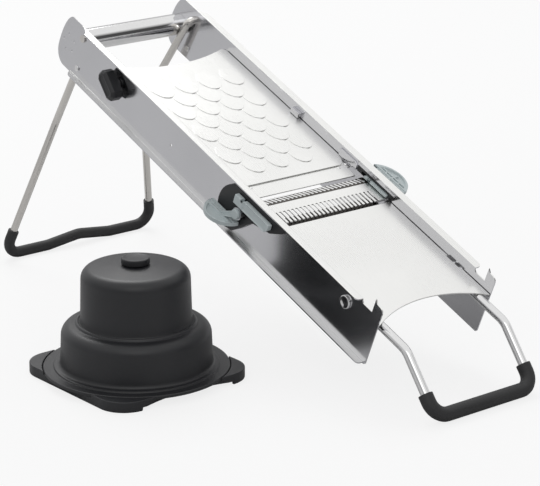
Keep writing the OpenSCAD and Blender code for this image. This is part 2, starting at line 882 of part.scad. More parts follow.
module front_foot_sleeve() {
    p = concat(
        [along(front_path[3], front_path[2], front_sleeve_up)],
        [front_path[3], front_path[4]],
        [along(front_path[4], front_path[5], front_sleeve_up)]);
    color(dark_plastic) on_deck() difference() {
        bent_rod(p, [front_bends[2], front_bends[3]], front_sleeve_r);
        bent_rod(front_path, front_bends, front_rod_r + run_fit);
    }
}

// Dished caps that keep the front foot's rod ends in the webs.
module front_pivot_caps() {
    color(bright) on_deck() both_sides() difference() {
        pin_across(front_pivot_s, front_pivot_w, cap_r, web_out + apart, web_out + cap_t);
        pin_across(front_pivot_s, front_pivot_w, front_rod_r, web_out, web_out + rod_end);
    }
}

module rounded_square(size, corner) {
    square([size, size - 2 * corner], center = true);
    square([size - 2 * corner, size], center = true);
    for (x = [-1, 1], y = [-1, 1])
        translate([x * (size / 2 - corner), y * (size / 2 - corner)]) circle(corner);
}

// Plan of the carriage, hollowed on the two sides without runners.
module carriage_outline() {
    half_span = carriage_w / 2 - carriage_corner - hollow_in;
    hollow_r = (half_span * half_span + carriage_hollow * carriage_hollow) / (2 * carriage_hollow);
    difference() {
        rounded_square(carriage_w, carriage_corner);
        for (side = [-1, 1])
            translate([side * (carriage_w / 2 - carriage_hollow + hollow_r), 0]) circle(hollow_r, $fn = 128);
    }
}

// Carriage with a runner along two sides and raised corners round the brim.
module pusher_carriage() {
    color(dark_plastic) on_table() {
        translate([0, 0, runner_h]) linear_extrude(carriage_t - runner_h) difference() {
            carriage_outline();
            circle(carriage_hole_r);
        }
        linear_extrude(runner_h) difference() {
            rounded_square(carriage_w, carriage_corner);
            rounded_square(carriage_w - 2 * runner_w, carriage_corner - runner_w);
            square([carriage_w + cut, carriage_w - 2 * carriage_corner], center = true);
        }
        translate([0, 0, carriage_t]) linear_extrude(brim_t) difference() {
            rounded_square(carriage_w, carriage_corner);
            circle(brim_r + ear_gap);
        }
    }
}

// Quarter round that ends a tier of radius r at height top.
function shoulder_arc(r, top) =
    [for (a = [0:15:90]) [r - shoulder * (1 - cos(a)), top - shoulder * (1 - sin(a))]];

// Two-tiered hat with a brim that rests on the carriage.
module pusher_hat() {
    inner_low = lower_tier_r - hat_wall;
    inner_up = upper_tier_r - hat_wall;
    color(dark_plastic) on_table() rotate_extrude($fn = 128) polygon(concat(
        [[spigot_r - hat_wall, spigot_z], [spigot_r, spigot_z], [spigot_r, brim_z],
         [brim_r - brim_edge, brim_z], [brim_r, brim_z + brim_edge], [brim_r, brim_top - brim_edge],
         [brim_r - brim_edge, brim_top], [step_r, brim_top], [step_r - brim_edge, step_z],
         [lower_tier_r + 1.4 * brim_edge, step_z], [lower_tier_r, lower_z]],
        shoulder_arc(lower_tier_r - draft, lower_top),
        [[ring_r, lower_top], [ring_r - 1, ring_z], [upper_tier_r + 0.8, ring_z]],
        shoulder_arc(upper_tier_r - draft, upper_top),
        [[button_r + 2, crown_z], [stem_r + run_fit, crown_z],
         [stem_r + run_fit, crown_z - 2 * hat_wall], [inner_up - shoulder, upper_top - hat_wall],
         [inner_up - 1, upper_top - hat_wall - shoulder], [inner_up, lower_top - hat_wall],
         [inner_low - shoulder, lower_top - hat_wall], [inner_low - 0.7, lower_top - hat_wall - shoulder],
         [spigot_r - hat_wall, lower_z]]));
}

module plunger_knob() {
    color(dark_plastic) on_table() difference() {
        union() {
            translate([0, 0, button_z]) cylinder(h = button_t - button_edge, r = button_r);
            translate([0, 0, button_z + button_t - button_edge])
                cylinder(h = button_edge, r1 = button_r, r2 = button_r - button_edge);
        }
        translate([0, 0, button_z - cut]) cylinder(h = stem_top - button_z + cut, r = stem_r);
    }
}

module plunger_stem() {
    color(steel) on_table() translate([0, 0, press_z + press_t])
        cylinder(h = stem_top - press_z - press_t, r = stem_r);
}

module press_plate() {
    color(dark_plastic) on_table() translate([0, 0, press_z]) cylinder(h = press_t, r = press_r);
}

// Spikes under the press plate, in two rings round a middle one.
module press_spikes() {
    color(steel) on_table() {
        spike(0, 0);
        for (a = [0:60:300]) spike(inner_ring_r, a);
        for (a = [0:30:330]) spike(outer_ring_r, a);
    }
}

module spike(r, a) {
    rotate([0, 0, a]) translate([r, 0, press_z - spike_h]) {
        translate([0, 0, spike_point]) cylinder(h = spike_h - spike_point, r = spike_r);
        cylinder(h = spike_point, r1 = spike_tip_r, r2 = spike_r);
    }
}

side_plate_left();
side_plate_right();
cross_tube();
detent_rivets();
lower_deck();
blade_ledges();
horizontal_blade();
slotted_plate();
hold_down_tabs();
side_cheeks();
latch_housing_left();
latch_housing_right();
lock_bar_left();
lock_bar_right();
ramp_carrier();
embossed_plate();
ramp_rivets();
ramp_hinge_pins();
thickness_knob();
control_shaft();
shaft_cams();
shaft_clip();
comb_carrier();
julienne_knives();
lever_shafts();
lever_left();
lever_right();
rear_foot_rod();
rear_foot_sleeve();
front_foot_rod();
front_foot_sleeve();
front_pivot_caps();
pusher_carriage();
pusher_hat();
plunger_knob();
plunger_stem();
press_plate();
press_spikes();
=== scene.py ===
import json
from math import radians, pi, sin, cos, tan, atan2
import bpy
from mathutils import Matrix, Vector


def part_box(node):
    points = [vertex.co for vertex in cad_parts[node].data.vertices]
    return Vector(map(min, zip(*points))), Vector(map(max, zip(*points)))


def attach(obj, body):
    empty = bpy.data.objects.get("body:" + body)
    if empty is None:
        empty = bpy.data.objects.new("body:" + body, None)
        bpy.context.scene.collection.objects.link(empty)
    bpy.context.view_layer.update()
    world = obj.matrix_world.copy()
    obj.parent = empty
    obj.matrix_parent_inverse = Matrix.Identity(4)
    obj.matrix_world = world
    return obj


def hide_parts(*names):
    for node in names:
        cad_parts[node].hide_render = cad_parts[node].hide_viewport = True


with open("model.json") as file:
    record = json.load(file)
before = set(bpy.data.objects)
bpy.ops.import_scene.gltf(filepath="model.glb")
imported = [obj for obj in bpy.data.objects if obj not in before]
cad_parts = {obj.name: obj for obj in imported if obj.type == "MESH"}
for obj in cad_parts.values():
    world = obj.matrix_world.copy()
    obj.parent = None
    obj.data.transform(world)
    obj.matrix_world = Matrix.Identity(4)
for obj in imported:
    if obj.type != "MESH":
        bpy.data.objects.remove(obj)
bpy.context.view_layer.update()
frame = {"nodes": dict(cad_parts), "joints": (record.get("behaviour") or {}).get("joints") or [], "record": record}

nodes = frame["nodes"]
record = frame["record"]
joints = {j["name"]: j for j in frame["joints"]}
slotOf = {p["node"]: p["material_slot"] for p in record["subparts"]}
bodyOf = {n: b for b, members in record["behaviour"]["bodies"].items() for n in members}
mm = 0.001

# s runs down the deck, v across it to the far side, w square to it
leverSpot = (245.9, 27.1)  # the comb rocker's axis in s and w
deckS = -Vector(joints["lock_left_slide"]["axis"])
deckV = Vector((0, 1, 0))
deckW = deckS.cross(deckV)
tilt = atan2(-deckS.z, deckS.x)
rocker = Vector(joints["comb_rocker"]["pos_m"])
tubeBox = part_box("cross_tube")
rocker.y = (tubeBox[0][1] + tubeBox[1][1]) / 2  # middle of the deck
deckZero = rocker - (deckS * leverSpot[0] + deckW * leverSpot[1]) * mm
deckMatrix = Matrix.Translation(deckZero) @ Matrix((deckS, deckV, deckW)).transposed().to_4x4()
deckInverse = deckMatrix.inverted()
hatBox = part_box("pusher_hat")
pusherX = (hatBox[0][0] + hatBox[1][0]) / 2
pusherY = (hatBox[0][1] + hatBox[1][1]) / 2
pusherMatrix = Matrix.Translation((pusherX, pusherY, 0))


def pickNothing():
    if bpy.context.object and bpy.context.object.mode != "OBJECT":
        bpy.ops.object.mode_set(mode="OBJECT")
    bpy.ops.object.select_all(action="DESELECT")


def makeActive(obj):
    pickNothing()
    obj.select_set(True)
    bpy.context.view_layer.objects.active = obj


def toObject():
    bpy.ops.object.mode_set(mode="OBJECT")


def editAll(obj):
    makeActive(obj)
    bpy.ops.object.mode_set(mode="EDIT")
    bpy.ops.mesh.select_all(action="SELECT")


def pick(obj, kind, test):  # test gets a place in mm and, for a face, its normal
    makeActive(obj)
    mesh = obj.data
    bpy.context.tool_settings.mesh_select_mode = (kind == "VERT", kind == "EDGE", kind == "FACE")
    for group in (mesh.vertices, mesh.edges, mesh.polygons):
        for item in group:
            item.select = False
    if kind == "VERT":
        for vert in mesh.vertices:
            vert.select = bool(test(vert.co / mm))
    elif kind == "EDGE":
        for edge in mesh.edges:
            a, b = (mesh.vertices[i].co / mm for i in edge.vertices)
            edge.select = bool(test(a, b))
    else:
        for face in mesh.polygons:
            face.select = bool(test(face.center / mm, face.normal))
    bpy.ops.object.mode_set(mode="EDIT")


def applyPlace(obj):
    makeActive(obj)
    bpy.ops.object.transform_apply(location=True, rotation=True, scale=True)


def applyModifiers(obj):
    makeActive(obj)
    for mod in list(obj.modifiers):
        bpy.ops.object.modifier_apply(modifier=mod.name)


def softEdges(obj, width, segments=3, limit=38, smooth=40):
    bevel = obj.modifiers.new("edge", "BEVEL")
    bevel.width = width * mm
    bevel.segments = segments
    bevel.limit_method = "ANGLE"
    bevel.angle_limit = radians(limit)
    applyModifiers(obj)
    smoothByAngle(obj, smooth)


def smoothByAngle(obj, angle=40):
    makeActive(obj)
    bpy.ops.object.shade_smooth_by_angle(angle=radians(angle))


def squareNormals(obj):
    editAll(obj)
    bpy.ops.mesh.remove_doubles(threshold=0.001 * mm)
    bpy.ops.mesh.normals_make_consistent(inside=False)
    toObject()


def placeBy(obj, matrix):
    obj.matrix_basis = matrix @ obj.matrix_basis
    applyPlace(obj)


def joined(parts):
    makeActive(parts[0])
    for part in parts:
        part.select_set(True)
    bpy.ops.object.join()
    return bpy.context.object


def twin(obj):
    makeActive(obj)
    bpy.ops.object.duplicate(linked=False)
    return bpy.context.object


def nearSide(obj):  # turns a far-side piece, drawn in s v w, into its near-side twin
    obj.scale = (1, -1, 1)
    applyPlace(obj)
    squareNormals(obj)


def boxAt(s, v, w):
    pickNothing()
    centre = [(a + b) / 2 * mm for a, b in (s, v, w)]
    bpy.ops.mesh.primitive_cube_add(size=mm, location=centre)
    obj = bpy.context.object
    obj.scale = [b - a for a, b in (s, v, w)]
    applyPlace(obj)
    return obj


def dress(obj, material):
    obj.data.materials.clear()
    obj.data.materials.append(material)


def flatShading(obj):  # large flat faces keep their own normal beside small bevels
    even = obj.modifiers.new("even", "WEIGHTED_NORMAL")
    even.mode = "FACE_AREA"
    even.keep_sharp = True
    applyModifiers(obj)


def settle(obj, name, material, *replaced):
    flatShading(obj)
    obj.name = name
    obj.data.name = name
    dress(obj, material)
    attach(obj, bodyOf[replaced[0]])
    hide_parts(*replaced)
    return obj


# puts a second material on the listed faces: the blade teeth's ground finish, and on the side plates' flange tops
# a painted sheen
def secondFinishAndPaintedSheen(obj, material, faces):
    obj.data.materials.append(material)
    for index in faces:
        obj.data.polygons[index].material_index = 1


def copyOf(node):
    mesh = nodes[node].data.copy()
    obj = bpy.data.objects.new(node + "_soft", mesh)
    bpy.context.scene.collection.objects.link(obj)
    editAll(obj)
    bpy.ops.mesh.remove_doubles(threshold=0.003 * mm)
    bpy.ops.mesh.dissolve_limited(angle_limit=radians(1.5))
    toObject()
    return obj


def softCopy(node, name, width, material, segments=2, limit=38, smooth=40):
    obj = copyOf(node)
    softEdges(obj, width, segments, limit, smooth)
    return settle(obj, name, material, node)


cameraSet = {
    "lens": 162.24,
    "azimuth": 49.576,
    "elevation": 18.095,
    "roll": 0.492,
    "target": (50.80, 68.69, 62.10),  # mm
    "distance": 1875.8,
    "shift": (-0.0631, 0.0306),
}


def makeCamera():
    data = bpy.data.cameras.new("camera")
    cam = bpy.data.objects.new("camera", data)
    bpy.context.scene.collection.objects.link(cam)
    az, el, roll = (radians(cameraSet[k]) for k in ("azimuth", "elevation", "roll"))
    back = Vector((sin(az) * cos(el), -cos(az) * cos(el), sin(el)))
    right = Vector((cos(az), sin(az), 0))
    up = back.cross(right)
    camX = right * cos(roll) + up * sin(roll)
    camY = up * cos(roll) - right * sin(roll)
    spot = Vector(cameraSet["target"]) * mm + back * cameraSet["distance"] * mm
    cam.matrix_world = Matrix.Translation(spot) @ Matrix((camX, camY, back)).transposed().to_4x4()
    data.sensor_width = 36
    data.lens = cameraSet["lens"]
    data.shift_x, data.shift_y = cameraSet["shift"]
    data.clip_end = 50
    bpy.context.scene.camera = cam


makeCamera()
print("camera placed")


# finishes
def finish(name, look):
    mat = bpy.data.materials.new(name)
    mat.use_nodes = True
    tree = mat.node_tree
    link = tree.links.new
    bsdf = tree.nodes["Principled BSDF"]
    bsdf.inputs["Metallic"].default_value = look.get("metal", 0.0)
    bsdf.inputs["IOR"].default_value = look.get("ior", 1.5)
    coord = tree.nodes.new("ShaderNodeTexCoord")
    grainMap = tree.nodes.new("ShaderNodeMapping")
    grainMap.vector_type = "TEXTURE"
    grainMap.inputs["Rotation"].default_value = (0, tilt if look.get("deck") else 0, 0)
    grainMap.inputs["Scale"].default_value = [g * mm for g in look["grain"]]
    link(coord.outputs["Object"], grainMap.inputs["Vector"])
    grain = tree.nodes.new("ShaderNodeTexNoise")
    grain.inputs["Scale"].default_value = 1
    grain.inputs["Detail"].default_value = look.get("detail", 4)
    grain.inputs["Roughness"].default_value = 0.6
    link(grainMap.outputs["Vector"], grain.inputs["Vector"])
    smudge = tree.nodes.new("ShaderNodeTexNoise")
    smudge.inputs["Scale"].default_value = 1000 / look.get("smudge", 60)
    smudge.inputs["Detail"].default_value = 5
    smudge.inputs["Distortion"].default_value = 0.4
    link(coord.outputs["Object"], smudge.inputs["Vector"])
    both = tree.nodes.new("ShaderNodeMix")
    both.inputs["Factor"].default_value = look.get("smudgeShare", 0.5)
    link(grain.outputs["Fac"], both.inputs["A"])
    link(smudge.outputs["Fac"], both.inputs["B"])
    tone = tree.nodes.new("ShaderNodeValToRGB")
    low, high = look["tones"]
    tone.color_ramp.elements[0].position = 0.3
    tone.color_ramp.elements[0].color = (*low, 1)
    tone.color_ramp.elements[1].position = 0.7
    tone.color_ramp.elements[1].color = (*high, 1)
    link(both.outputs["Result"], tone.inputs["Fac"])
    colour = tone.outputs["Color"]
    if "worn" in look:  # edges rubbed lighter or darker
        geometry = tree.nodes.new("ShaderNodeNewGeometry")
        edge = tree.nodes.new("ShaderNodeMapRange")
        edge.inputs["From Min"].default_value = look.get("wornFrom", 0.53)
        edge.inputs["From Max"].default_value = look.get("wornTo", 0.62)
        edge.inputs["To Max"].default_value = look.get("wornShare", 0.6)
        link(geometry.outputs["Pointiness"], edge.inputs["Value"])
        wear = tree.nodes.new("ShaderNodeMix")
        wear.data_type = "RGBA"
        link(edge.outputs["Result"], wear.inputs["Factor"])
        link(colour, wear.inputs["A"])
        wear.inputs["B"].default_value = (*look["worn"], 1)
        colour = wear.outputs["Result"]
    link(colour, bsdf.inputs["Base Color"])
    rough = tree.nodes.new("ShaderNodeMapRange")
    rough.inputs["From Min"].default_value = 0.3
    rough.inputs["From Max"].default_value = 0.7
    rough.inputs["To Min"].default_value = look["rough"][0]
    rough.inputs["To Max"].default_value = look["rough"][1]
    link(both.outputs["Result"], rough.inputs["Value"])
    link(rough.outputs["Result"], bsdf.inputs["Roughness"])
    bump = tree.nodes.new("ShaderNodeBump")
    bump.inputs["Strength"].default_value = look.get("bump", 0.2)
    bump.inputs["Distance"].default_value = look.get("bumpDepth", 0.02) * mm
    link(grain.outputs["Fac"], bump.inputs["Height"])
    link(bump.outputs["Normal"], bsdf.inputs["Normal"])
    return mat


finishes = {
    "brushedWeb": {"tones": ((0.60, 0.60, 0.62), (0.68, 0.68, 0.70)), "metal": 1.0, "rough": (0.13, 0.21),
                   "grain": (40, 0.22, 0.22), "deck": True, "bump": 0.10, "bumpDepth": 0.008, "smudge": 90,
                   "smudgeShare": 0.6},
    "satinPlate": {"tones": ((0.83, 0.83, 0.815), (0.89, 0.89, 0.875)), "metal": 1.0, "rough": (0.24, 0.34),
                   "grain": (9, 0.4, 0.4), "deck": True, "bump": 0.15, "bumpDepth": 0.012, "smudge": 90},
    "groundBlade": {"tones": ((0.66, 0.66, 0.66), (0.80, 0.80, 0.79)), "metal": 1.0, "rough": (0.16, 0.28),
                    "grain": (0.4, 9, 0.4), "deck": True, "bump": 0.3, "bumpDepth": 0.015, "smudge": 30},
    # dark steel; on the comb bar and julienne knives it is painted shade, standing in for the shadow under the
    # slotted plate
    "darkSteelAndPaintedShade": {"tones": ((0.075, 0.07, 0.065), (0.13, 0.12, 0.11)), "metal": 1.0, "rough": (0.26, 0.38),
                   "grain": (0.6, 0.6, 0.6), "bump": 0.2, "smudge": 20},
    "polishedRod": {"tones": ((0.72, 0.72, 0.72), (0.80, 0.80, 0.80)), "metal": 1.0, "rough": (0.05, 0.12),
                    "grain": (1.2, 1.2, 1.2), "bump": 0.03, "bumpDepth": 0.01, "smudge": 40},
    "satinRod": {"tones": ((0.62, 0.60, 0.57), (0.71, 0.69, 0.66)), "metal": 1.0, "rough": (0.16, 0.28),
                 "grain": (0.5, 0.5, 9), "bump": 0.12, "bumpDepth": 0.01, "smudge": 50},
    "blackRubber": {"tones": ((0.012, 0.012, 0.013), (0.026, 0.026, 0.027)), "rough": (0.52, 0.7),
                    "grain": (0.5, 0.5, 0.5), "bump": 0.5, "bumpDepth": 0.05, "smudge": 35,
                    "smudgeShare": 0.7, "worn": (0.05, 0.05, 0.05)},
    "blackNylon": {"tones": ((0.0085, 0.009, 0.0105), (0.016, 0.0165, 0.0185)), "rough": (0.34, 0.5),
                   "grain": (0.35, 0.35, 0.35), "bump": 0.35, "bumpDepth": 0.03, "smudge": 25,
                   "worn": (0.06, 0.06, 0.06)},
    "sootPlastic": {"tones": ((0.009, 0.0095, 0.0115), (0.0155, 0.016, 0.0185)), "rough": (0.36, 0.5),
                    "grain": (0.45, 0.45, 0.45), "bump": 0.35, "bumpDepth": 0.03, "smudge": 60,
                    "smudgeShare": 0.6, "worn": (0.06, 0.06, 0.062), "wornShare": 0.45},
    "latchGrey": {"tones": ((0.47, 0.53, 0.54), (0.54, 0.60, 0.61)), "rough": (0.38, 0.52),
                  "grain": (0.4, 0.4, 0.4), "bump": 0.3, "bumpDepth": 0.03, "smudge": 20,
                  "worn": (0.62, 0.67, 0.68), "wornShare": 0.5},
}
mats = {name: finish(name, look) for name, look in finishes.items()}
slotFinish = {
    "frame_steel": "brushedWeb", "bright_steel": "satinPlate", "chrome": "polishedRod",
    "satin_wire": "satinRod", "rubber": "blackRubber", "black_plastic": "blackNylon",
    "pusher_plastic": "sootPlastic", "grey_plastic": "latchGrey",
}
for name, node in nodes.items():
    dress(node, mats[slotFinish[slotOf[name]]])
# the comb bar is dressed in the dark steel: painted shade for the shadow beneath the slots
dress(nodes["comb_carrier"], mats["darkSteelAndPaintedShade"])
print("finishes mixed")

# side plates
sideSheet = {"inner": 55.5, "outer": 56.5, "top": 45.5, "foldOut": 1.1, "foldIn": 0.35, "edge": 0.16}


def sidePlate(node, name):
    obj = copyOf(node)
    placeBy(obj, deckInverse)
    for across, height, width, steps in ((sideSheet["inner"], sideSheet["top"], sideSheet["foldOut"], 8),
                                         (sideSheet["inner"], 0, sideSheet["foldOut"], 8),
                                         (sideSheet["outer"], sideSheet["top"] - 1, sideSheet["foldIn"], 3),
                                         (sideSheet["outer"], 1, sideSheet["foldIn"], 3)):
        pick(obj, "EDGE", lambda a, b: abs(a.x - b.x) > 20 and all(
            abs(abs(p.y) - across) < 0.02 and abs(p.z - height) < 0.02 for p in (a, b)))
        bpy.ops.mesh.bevel(offset=width * mm, segments=steps, affect="EDGES", clamp_overlap=True)
        toObject()
    softEdges(obj, sideSheet["edge"], 2, 50, 3)
    # the up-facing flange faces of the same sheet get the brighter plate finish: a painted sheen where the tops
    # catch the light
    paintedSheenFaces = [poly.index for poly in obj.data.polygons if poly.normal.z > 0.6]
    placeBy(obj, deckMatrix)
    settle(obj, name, mats["brushedWeb"], node)
    secondFinishAndPaintedSheen(obj, mats["satinPlate"], paintedSheenFaces)


sidePlate("side_plate_left", "near_side_plate")
sidePlate("side_plate_right", "far_side_plate")
softCopy("cross_tube", "top_cross_tube", 0.25, mats["polishedRod"], limit=50)
softCopy("detent_rivets", "leg_detents", 0.4, mats["polishedRod"], 3)
softCopy("hold_down_tabs", "plate_stops", 0.35, mats["brushedWeb"])
softCopy("side_cheeks", "blade_cheeks", 0.3, mats["brushedWeb"])
softCopy("blade_ledges", "blade_rests", 0.2, mats["brushedWeb"])
softCopy("lower_deck", "lower_run_plate", 0.22, mats["satinPlate"], 3)
softCopy("slotted_plate", "comb_plate", 0.12, mats["satinPlate"])
softCopy("ramp_carrier", "ramp_under_plate", 0.2, mats["satinPlate"])
softCopy("ramp_rivets", "ramp_rivet_heads", 0.25, mats["polishedRod"], 3, 25)
# comb bar and julienne knives in the dark steel: painted shade beneath the slots
softCopy("comb_carrier", "comb_bar", 0.3, mats["darkSteelAndPaintedShade"])
softCopy("julienne_knives", "comb_knives", 0.06, mats["darkSteelAndPaintedShade"], 1)
print("sheet metal softened")

# upper run plate with its pressed scales
scaleSet = {"firstRow": 97.0, "rowPitch": 15.25, "rows": 8, "columnPitch": 23.6, "halfLong": 13.2,
            "halfWide": 9.8, "rise": 0.56, "sink": -0.06, "root": 0.4, "nose": 0.34,
            "noseCurve": 1.6, "border": 0.012, "edge": 0.15, "plateEdge": 0.25, "top": 36.5}


def upperPlate():
    plate = copyOf("embossed_plate")
    softEdges(plate, scaleSet["plateEdge"], 3)
    pickNothing()
    bpy.ops.mesh.primitive_cylinder_add(vertices=48, radius=mm, depth=mm)
    scale = bpy.context.object
    pick(scale, "FACE", lambda c, n: n.z > 0.9)
    bpy.ops.mesh.inset(thickness=scaleSet["border"] * mm, depth=0)
    toObject()
    for vert in scale.data.vertices:  # pointed up the slope, lifted at its blunt lower end
        along, across, high = vert.co / mm
        narrow = 1 - scaleSet["nose"] * max(0, -along) ** scaleSet["noseCurve"]
        slope = (scaleSet["rise"] - scaleSet["sink"]) * (along + 1) / 2
        lift = -scaleSet["root"] if high < 0 else scaleSet["sink"] + slope
        vert.co = Vector((along * scaleSet["halfLong"], across * scaleSet["halfWide"] * narrow, lift)) * mm
    softEdges(scale, scaleSet["edge"], 3, 40, 40)
    parts = [plate]
    for row in range(scaleSet["rows"]):
        columns = (-1.5, -0.5, 0.5, 1.5) if row % 2 == 0 else (-1, 0, 1)
        for column in columns:
            one = twin(scale)
            one.location = Vector((scaleSet["firstRow"] + row * scaleSet["rowPitch"],
                                   column * scaleSet["columnPitch"], scaleSet["top"])) * mm
            applyPlace(one)
            placeBy(one, deckMatrix)
            parts.append(one)
    bpy.data.objects.remove(scale)
    plate = joined(parts)
    return settle(plate, "upper_run_plate", mats["satinPlate"], "embossed_plate")


upperPlate()
print("upper plate pressed")

# bent rods and their sleeves
rearLeg = {"radius": 3.1, "sleeve": 4.6, "sleeveUp": 24, "kink": 4, "pivot": (17, 36), "stub": 57.8,
           "inside": 50.1, "bend": (-5.83, -59.3), "bendV": 44.3, "foot": (6.3, -186), "spread": 77,
           "flatFrom": 0.42, "bends": (5, 25, 12, 30, 30, 30, 12, 25, 5)}
legEdges = {"rod": 0.6, "sleeve": 0.7}
frontLeg = {"radius": 3.5, "sleeve": 5.5, "sleeveUp": 18, "pivot": (366.3, 31.9), "stub": 57.8,
            "legV": 48.8, "bendS": 427.5, "foot": (472.5, 5.4), "bends": (6, 16, 12, 12, 16, 6)}


def deckPoint(s, v, w):
    return deckMatrix @ (Vector((s, v, w)) * mm)


def centreLine(points, bends, steps=9):  # rounds each inner corner with its own bend radius
    line = [points[0]]
    for i in range(1, len(points) - 1):
        into = (points[i] - points[i - 1]).normalized()
        out = (points[i + 1] - points[i]).normalized()
        turn = into.angle(out)
        radius = bends[i - 1] * mm
        start = points[i] - into * radius * tan(turn / 2)
        middle = start + (out - into * into.dot(out)).normalized() * radius
        axis = into.cross(out)
        for k in range(steps + 1):
            line.append(middle + Matrix.Rotation(turn * k / steps, 3, axis) @ (start - middle))
    line.append(points[-1])
    return line


def tubeAlong(points, radius, name):
    curve = bpy.data.curves.new(name, "CURVE")
    curve.dimensions = "3D"
    curve.bevel_depth = radius * mm
    curve.bevel_resolution = 7
    curve.use_fill_caps = True
    curve.twist_mode = "MINIMUM"
    spline = curve.splines.new("POLY")
    spline.points.add(len(points) - 1)
    for slot, point in zip(spline.points, points):
        slot.co = (*point, 1)
    obj = bpy.data.objects.new(name, curve)
    bpy.context.scene.collection.objects.link(obj)
    makeActive(obj)
    bpy.ops.object.convert(target="MESH")
    obj = bpy.context.object
    squareNormals(obj)
    return obj


def toward(a, b, length):
    return a + (b - a).normalized() * length * mm


def makeLeg(corners, leg, rod, rodName, rodFinish, sleeve, sleeveName, first, last):
    line = centreLine(corners, leg["bends"])
    obj = tubeAlong(line, leg["radius"], rodName)
    softEdges(obj, legEdges["rod"], 3, 60, 35)
    settle(obj, rodName, rodFinish, rod)
    cut = [toward(corners[first], corners[first - 1], leg["sleeveUp"])]
    cut += corners[first:last + 1]
    cut += [toward(corners[last], corners[last + 1], leg["sleeveUp"])]
    obj = tubeAlong(centreLine(cut, leg["bends"][first - 1:last]), leg["sleeve"], sleeveName)
    softEdges(obj, legEdges["sleeve"], 4, 60, 35)
    settle(obj, sleeveName, mats["blackRubber"], sleeve)


def makeLegs():
    s, w = rearLeg["foot"]
    half = [(rearLeg["pivot"][0], rearLeg["stub"], rearLeg["pivot"][1]),
            (rearLeg["pivot"][0], rearLeg["inside"], rearLeg["pivot"][1]),
            (rearLeg["bend"][0], rearLeg["bendV"], rearLeg["bend"][1]),
            (s, rearLeg["spread"], w), (s, rearLeg["spread"] * rearLeg["flatFrom"], w)]
    middle = (s - rearLeg["kink"] * sin(tilt), 0, w + rearLeg["kink"] * cos(tilt))
    corners = [(a, -b, c) for a, b, c in half] + [middle] + half[::-1]
    corners = [deckPoint(*c) for c in corners]
    makeLeg(corners, rearLeg, "rear_foot_rod", "rear_leg_rod", mats["satinRod"],
            "rear_foot_sleeve", "rear_leg_sleeve", 3, 7)
    half = [(frontLeg["pivot"][0], frontLeg["stub"], frontLeg["pivot"][1]),
            (frontLeg["pivot"][0], frontLeg["legV"], frontLeg["pivot"][1]),
            (frontLeg["bendS"], frontLeg["legV"], frontLeg["pivot"][1]),
            (frontLeg["foot"][0], frontLeg["legV"], frontLeg["foot"][1])]
    corners = [(a, -b, c) for a, b, c in half] + half[::-1]
    corners = [deckPoint(*c) for c in corners]
    makeLeg(corners, frontLeg, "front_foot_rod", "front_leg_rod", mats["polishedRod"],
            "front_foot_sleeve", "front_leg_sleeve", 3, 4)


makeLegs()
print("legs bent")

# thickness knob
knobSet = {"centre": (70, 27.5), "start": 56.8, "base": 2.4, "baseRadius": 4.8, "long": 25, "wide": 12.5,
           "deep": 12.5, "corner": 3.4, "chamfer": 2.0, "rim": 1.5, "hollow": 0.5, "overlap": 0.6,
           "turn": 30, "edge": 0.3}


def thicknessKnob():
    high = knobSet["deep"] - knobSet["base"]
    pickNothing()
    bpy.ops.mesh.primitive_cube_add(size=mm, location=(0, 0, (knobSet["base"] + high / 2) * mm))
    wing = bpy.context.object
    wing.scale = (knobSet["long"], knobSet["wide"], high)
    applyPlace(wing)
    pick(wing, "EDGE", lambda a, b: abs(a.z - b.z) > 5)
    bpy.ops.mesh.bevel(offset=knobSet["corner"] * mm, segments=1, affect="EDGES")
    toObject()
    pick(wing, "FACE", lambda c, n: n.z > 0.9)
    bpy.ops.transform.translate(value=(0, 0, -knobSet["chamfer"] * mm))
    bpy.ops.mesh.inset(thickness=knobSet["chamfer"] * mm, depth=knobSet["chamfer"] * mm)
    bpy.ops.mesh.inset(thickness=knobSet["rim"] * mm, depth=0)
    hollow = knobSet["hollow"] * mm
    bpy.ops.mesh.inset(thickness=hollow, depth=-hollow)  # shallow finger hollow
    toObject()
    softEdges(wing, knobSet["edge"], 3, 20, 30)
    neck = (knobSet["base"] + knobSet["overlap"]) * mm
    pickNothing()
    bpy.ops.mesh.primitive_cylinder_add(vertices=48, radius=knobSet["baseRadius"] * mm,
                                        depth=neck, location=(0, 0, neck / 2))
    base = bpy.context.object
    softEdges(base, knobSet["edge"], 2)
    knob = joined([wing, base])
    knob.matrix_basis = Matrix.Rotation(pi / 2, 4, "X")  # outwards is now towards the near side
    applyPlace(knob)
    knob.matrix_basis = Matrix.Rotation(radians(knobSet["turn"]), 4, "Y")
    applyPlace(knob)
    knob.location = Vector((knobSet["centre"][0], -knobSet["start"], knobSet["centre"][1])) * mm
    applyPlace(knob)
    placeBy(knob, deckMatrix)
    return settle(knob, "slice_thickness_knob", mats["blackNylon"], "thickness_knob")


thicknessKnob()
print("knob made")

# side housings
housingSet = {"edge": 0.9}
softCopy("latch_housing_left", "near_latch_housing", housingSet["edge"], mats["blackNylon"], 3, 40)
softCopy("latch_housing_right", "far_latch_housing", housingSet["edge"], mats["blackNylon"], 3, 40)
print("housings softened")

# slicing blade
bladeSet = {"teeth": 26, "pitch": 4.0, "wide": 2.0, "long": 6.2, "inset": 0.7, "lift": 0.42, "root": 0.4,
            "lean": 30, "edge": 0.22, "backEdge": 0.08}


